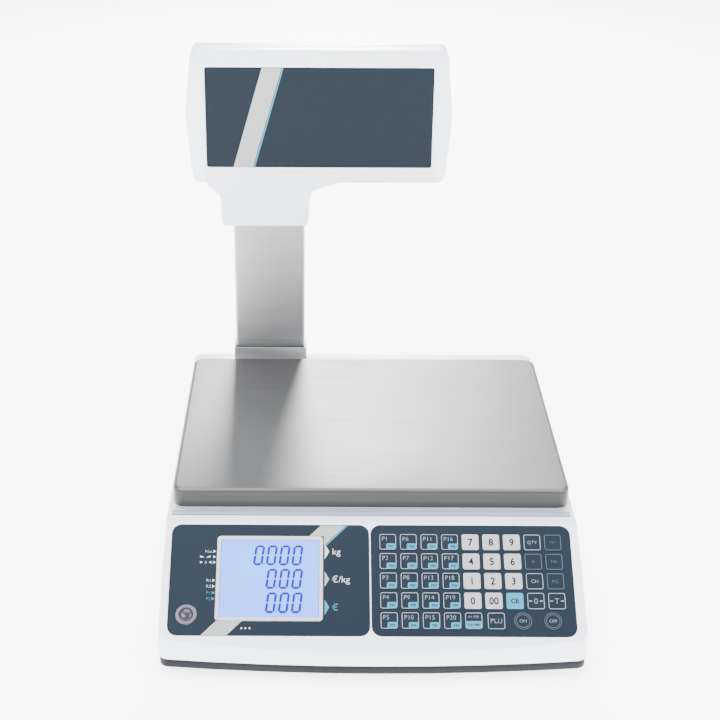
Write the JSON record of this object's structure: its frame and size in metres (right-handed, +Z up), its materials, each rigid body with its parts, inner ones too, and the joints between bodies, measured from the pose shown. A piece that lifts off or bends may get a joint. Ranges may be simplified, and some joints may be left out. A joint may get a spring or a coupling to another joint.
{
  "type": "retail price scale",
  "caption": "Counter scale with a stainless platter, sloped keypad and display panel, and a customer display on a rear column.",
  "frame": {"origin": "middle of the object's box in plan, at the height the feet stand on", "axes": "+Z up, -Y towards the operator who faces the keypad, +X to the operator's right"},
  "size_m": [0.305, 0.377, 0.367],
  "materials": {
    "white_abs": "moulded, fine satin",
    "grey_abs": "moulded, fine texture",
    "brushed_steel": "straight brushed",
    "cast_aluminium": "as cast and machined",
    "zinc_steel": "zinc plated steel",
    "rubber": "moulded",
    "blue_film": "back-printed polyester film",
    "membrane_film": "printed circuit film",
    "bezel_plastic": "moulded",
    "display_glass": "backlit liquid crystal",
    "backlight_panel": "diffuser",
    "light_guide": "clear acrylic",
    "level_plastic": "moulded",
    "level_lens": "clear acrylic with fluid below",
    "board": "solder mask",
    "black_plastic": "moulded",
    "laminated_iron": "varnished laminations",
    "cable_sheath": "PVC sheath"
  },
  "bodies": {
    "base": {"upper_housing": "white_abs", "lower_housing": "grey_abs", "base_frame": "zinc_steel", "housing_screw_1": "zinc_steel", "housing_screw_2": "zinc_steel", "housing_screw_3": "zinc_steel", "housing_screw_4": "zinc_steel", "display_overlay": "blue_film", "display_bezel": "bezel_plastic", "display_lcd": "display_glass", "display_backlight": "backlight_panel", "keypad_overlay": "blue_film", "keypad_membrane": "membrane_film", "status_light_guide": "light_guide", "level_cup": "level_plastic", "level_lens": "level_lens", "main_board": "board", "load_cell_pedestal": "cast_aluminium", "load_cell": "cast_aluminium", "load_cell_screw": "zinc_steel", "overload_stop": "zinc_steel", "battery": "black_plastic", "battery_strap": "zinc_steel", "transformer": "laminated_iron", "mains_inlet": "black_plastic", "serial_port": "zinc_steel", "pole_column": "brushed_steel", "pole_bracket": "zinc_steel", "pole_screw_1": "zinc_steel", "pole_screw_2": "zinc_steel", "display_cable": "cable_sheath", "head_front_shell": "white_abs", "head_rear_shell": "white_abs", "head_front_panel": "blue_film", "head_rear_overlay": "blue_film", "customer_lcd": "display_glass", "customer_board": "board", "head_screw_1": "zinc_steel", "head_screw_2": "zinc_steel", "head_screw_3": "zinc_steel", "head_screw_4": "zinc_steel"},
    "spider": {"platter_spider": "cast_aluminium", "spider_screw": "zinc_steel", "spider_pad_1": "rubber", "spider_pad_2": "rubber", "spider_pad_3": "rubber", "spider_pad_4": "rubber"},
    "platter": {"platter": "brushed_steel"},
    "battery_door": {"battery_door": "grey_abs"},
    "foot_screw_1": {"foot_screw_1": "zinc_steel"},
    "foot_pad_1": {"foot_pad_1": "rubber"},
    "foot_screw_2": {"foot_screw_2": "zinc_steel"},
    "foot_pad_2": {"foot_pad_2": "rubber"},
    "foot_screw_3": {"foot_screw_3": "zinc_steel"},
    "foot_pad_3": {"foot_pad_3": "rubber"},
    "foot_screw_4": {"foot_screw_4": "zinc_steel"},
    "foot_pad_4": {"foot_pad_4": "rubber"}
  },
  "joints": [
    {"name": "weighing_travel", "type": "slide", "parent": "base", "child": "spider", "axis": [0, 0, 1], "range_m": [-0.0005, 0], "stiffness_N_per_m": 200000, "deforming": ["load_cell"]},
    {"name": "platter_lift", "type": "slide", "parent": "spider", "child": "platter", "axis": [0, 0, 1], "range_m": [0, 0.08]},
    {"name": "battery_door_hinge", "type": "hinge", "parent": "base", "child": "battery_door", "pos_m": [0.04, 0.12125, 0.00825], "axis": [1, 0, 0], "range_deg": [0, 95]},
    {"name": "foot_1_travel", "type": "slide", "parent": "base", "child": "foot_pad_1", "axis": [0, 0, 1], "range_m": [-0.008, 0]},
    {"name": "foot_1_turn", "type": "hinge", "parent": "foot_pad_1", "child": "foot_screw_1", "pos_m": [-0.124, -0.1535, 0.005], "axis": [0, 0, 1], "range_deg": [-2880.5, 0]},
    {"name": "foot_2_travel", "type": "slide", "parent": "base", "child": "foot_pad_2", "axis": [0, 0, 1], "range_m": [-0.008, 0]},
    {"name": "foot_2_turn", "type": "hinge", "parent": "foot_pad_2", "child": "foot_screw_2", "pos_m": [0.124, -0.1535, 0.005], "axis": [0, 0, 1], "range_deg": [-2880.5, 0]},
    {"name": "foot_3_travel", "type": "slide", "parent": "base", "child": "foot_pad_3", "axis": [0, 0, 1], "range_m": [-0.008, 0]},
    {"name": "foot_3_turn", "type": "hinge", "parent": "foot_pad_3", "child": "foot_screw_3", "pos_m": [-0.124, 0.1535, 0.005], "axis": [0, 0, 1], "range_deg": [-2880.5, 0]},
    {"name": "foot_4_travel", "type": "slide", "parent": "base", "child": "foot_pad_4", "axis": [0, 0, 1], "range_m": [-0.008, 0]},
    {"name": "foot_4_turn", "type": "hinge", "parent": "foot_pad_4", "child": "foot_screw_4", "pos_m": [0.124, 0.1535, 0.005], "axis": [0, 0, 1], "range_deg": [-2880.5, 0]}
  ],
  "couplings": [
    {"joint": "foot_1_turn", "follows": "foot_1_travel", "rad_per_m": 6283.2},
    {"joint": "foot_2_turn", "follows": "foot_2_travel", "rad_per_m": 6283.2},
    {"joint": "foot_3_turn", "follows": "foot_3_travel", "rad_per_m": 6283.2},
    {"joint": "foot_4_turn", "follows": "foot_4_travel", "rad_per_m": 6283.2}
  ]
}
